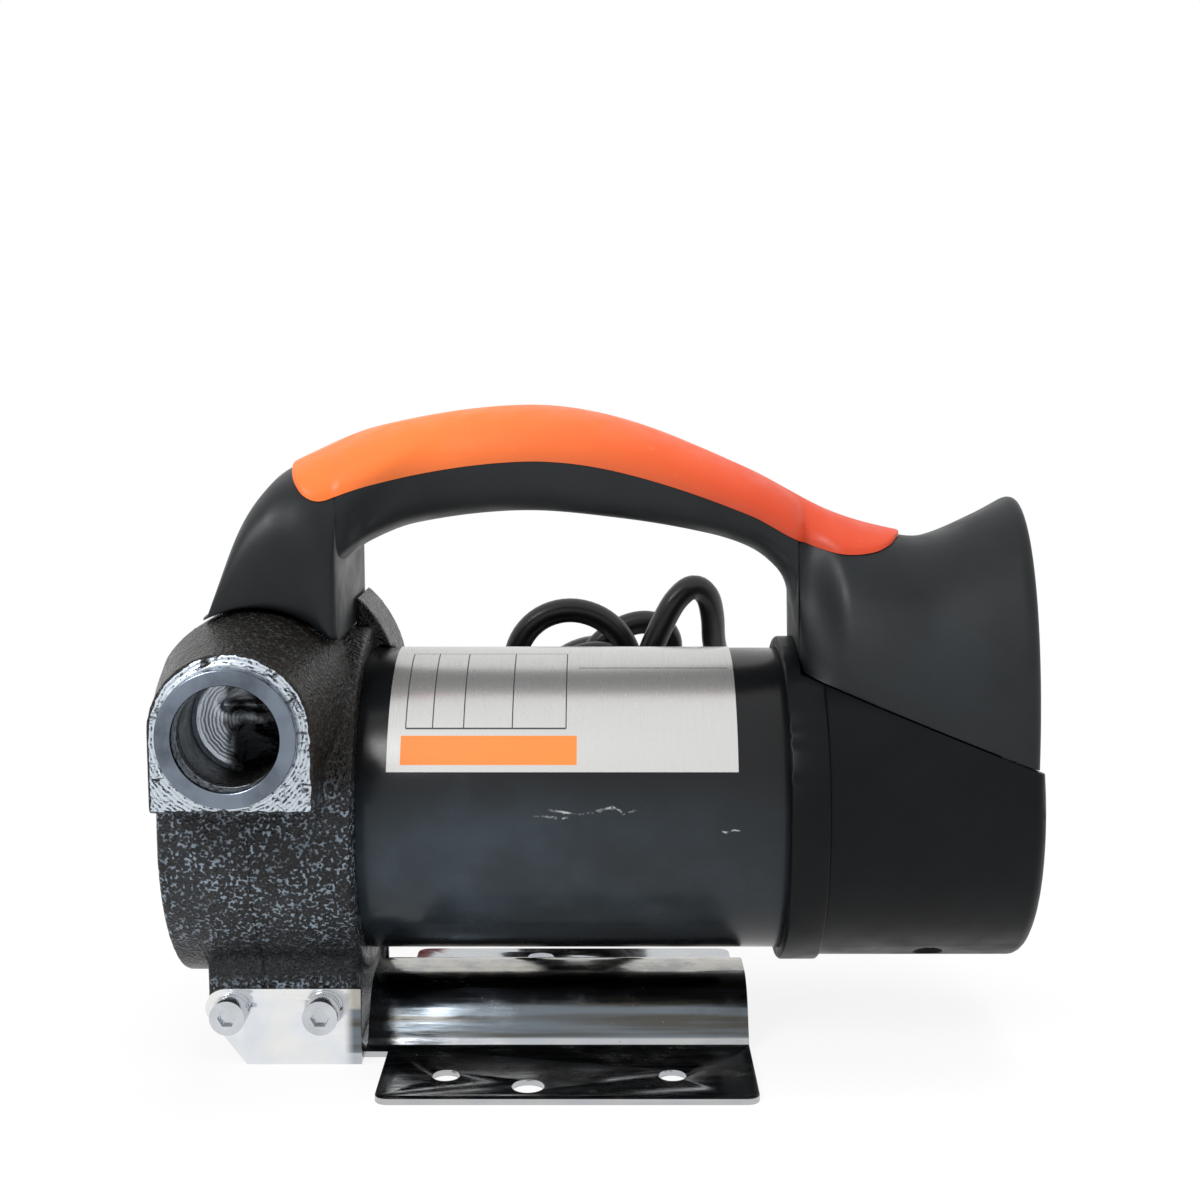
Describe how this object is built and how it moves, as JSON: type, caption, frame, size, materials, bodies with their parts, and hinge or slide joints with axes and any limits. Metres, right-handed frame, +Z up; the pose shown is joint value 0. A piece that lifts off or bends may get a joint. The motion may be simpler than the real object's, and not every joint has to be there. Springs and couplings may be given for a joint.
{
  "type": "diesel transfer pump",
  "caption": "Portable vane pump for diesel fuel: cast head with threaded ports, 12 V motor, carrying handle with switch, sheet steel foot, tied cord and battery clamps.",
  "frame": {"origin": "centre of the four bolt holes, on the ground face of the foot", "axes": "+X along the motor shaft from the pump head to the switch end; +Z up; +Y is the outlet port's side"},
  "size_m": [0.2149, 0.1812, 0.1594],
  "materials": {
    "head_paint": "crinkle finish black paint",
    "cover_paint": "black paint",
    "tube_paint": "gloss black paint",
    "zinc": "bright zinc plate",
    "screw_steel": "zinc plated",
    "bright_steel": "ground steel",
    "rotor_steel": "sintered steel",
    "laminations": "stacked sheet",
    "ferrite": "sintered",
    "alloy": "as cast",
    "copper": "enamelled copper",
    "comm_copper": "turned copper",
    "brass": "satin",
    "carbon": "carbon",
    "seal_rubber": "matt",
    "cap_plastic": "satin black",
    "handle_plastic": "fine grain charcoal",
    "grip_orange": "soft satin orange",
    "switch_plastic": "gloss black",
    "rocker_plastic": "gloss red",
    "cord_black": "satin black",
    "lead_red": "satin red",
    "tie_plastic": "natural nylon",
    "foil": "matt silver foil"
  },
  "bodies": {
    "housing": {"pump_head": "head_paint", "front_cover": "cover_paint", "cover_screws": "screw_steel", "cover_seal": "seal_rubber", "shaft_seal": "seal_rubber", "front_bearing": "bright_steel", "bypass_spring": "bright_steel", "bypass_plug": "brass", "motor_tube": "tube_paint", "magnets": "ferrite", "rear_bearing": "bright_steel", "end_bell": "alloy", "brush_holders": "brass", "brushes": "carbon", "brush_springs": "bright_steel", "tie_bolts": "screw_steel", "rear_cap": "cap_plastic", "handle": "handle_plastic", "grip_pad": "grip_orange", "handle_screws": "screw_steel", "case_screws": "screw_steel", "rear_panel": "cap_plastic", "switch_body": "switch_plastic", "cable_gland": "seal_rubber", "cord_lead": "cord_black", "cord_hank": "cord_black", "hank_tie": "tie_plastic", "split_boot": "seal_rubber", "red_lead": "lead_red", "black_lead": "cord_black", "red_jaw_fixed": "zinc", "red_pin": "bright_steel", "red_spring": "bright_steel", "red_sleeve_fixed": "lead_red", "black_jaw_fixed": "zinc", "black_pin": "bright_steel", "black_spring": "bright_steel", "black_sleeve_fixed": "cord_black", "base_plate": "zinc", "base_screws": "screw_steel", "spring_washers": "screw_steel", "rating_label": "foil"},
    "rotor": {"vane_rotor": "rotor_steel", "vanes": "carbon", "rotor_key": "bright_steel", "motor_shaft": "bright_steel", "armature_core": "laminations", "armature_winding": "copper", "commutator": "comm_copper"},
    "rocker": {"switch_rocker": "rocker_plastic"},
    "valve": {"bypass_valve": "brass"},
    "red_moving": {"red_jaw_moving": "zinc", "red_sleeve_moving": "lead_red"},
    "black_moving": {"black_jaw_moving": "zinc", "black_sleeve_moving": "cord_black"}
  },
  "joints": [
    {"name": "rotor_spin", "type": "hinge", "parent": "housing", "child": "rotor", "pos_m": [0, 0, 0.06], "axis": [1, 0, 0], "continuous": true},
    {"name": "switch_throw", "type": "hinge", "parent": "housing", "child": "rocker", "pos_m": [0.1046, 0, 0.09], "axis": [0, 1, 0], "range_deg": [0, 20]},
    {"name": "valve_lift", "type": "slide", "parent": "housing", "child": "valve", "axis": [0, 0, -1], "range_m": [0, 0.004], "stiffness_N_per_m": 1500, "springref_m": -0.002, "deforming": ["bypass_spring"]},
    {"name": "red_clamp_open", "type": "hinge", "parent": "housing", "child": "red_moving", "pos_m": [-0.069, 0.0724, 0.006], "axis": [0, 0, -1], "range_deg": [0, 25], "stiffness_Nm_per_rad": 0.35, "springref_deg": -11.46},
    {"name": "black_clamp_open", "type": "hinge", "parent": "housing", "child": "black_moving", "pos_m": [-0.074, 0.0994, 0.006], "axis": [0, 0, -1], "range_deg": [0, 25], "stiffness_Nm_per_rad": 0.35, "springref_deg": -11.46}
  ]
}
